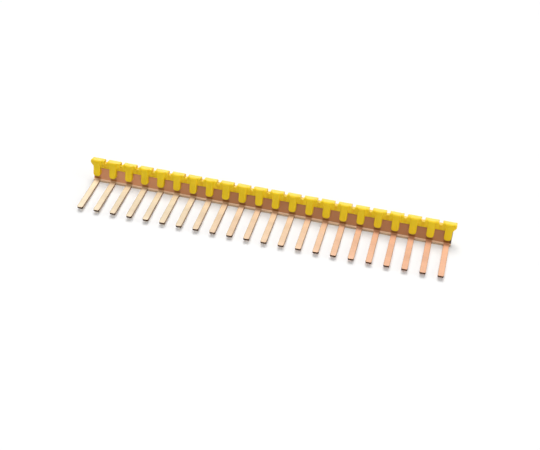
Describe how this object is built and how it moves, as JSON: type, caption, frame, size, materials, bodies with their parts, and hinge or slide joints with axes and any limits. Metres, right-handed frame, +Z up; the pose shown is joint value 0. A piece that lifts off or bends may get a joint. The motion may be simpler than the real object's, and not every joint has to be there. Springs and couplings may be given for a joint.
{
  "type": "terminal jumper",
  "caption": "Insulated comb jumper: flat prongs bent from one copper sheet, its upright strip covered by a yellow moulding of caps and tongues, for linking a row of rail terminals.",
  "frame": {"origin": "on the plane of the prongs' undersides, below the middle of the part's bounding box", "axes": "+X along the row of prongs, prongs point along -Y, +Z up from the prongs' undersides"},
  "size_m": [0.1352, 0.021, 0.0088],
  "materials": {
    "copper": "satin",
    "yellow_plastic": "matte"
  },
  "bodies": {
    "root": {"copper_comb": "copper", "insulating_strip": "yellow_plastic"}
  },
  "joints": []
}
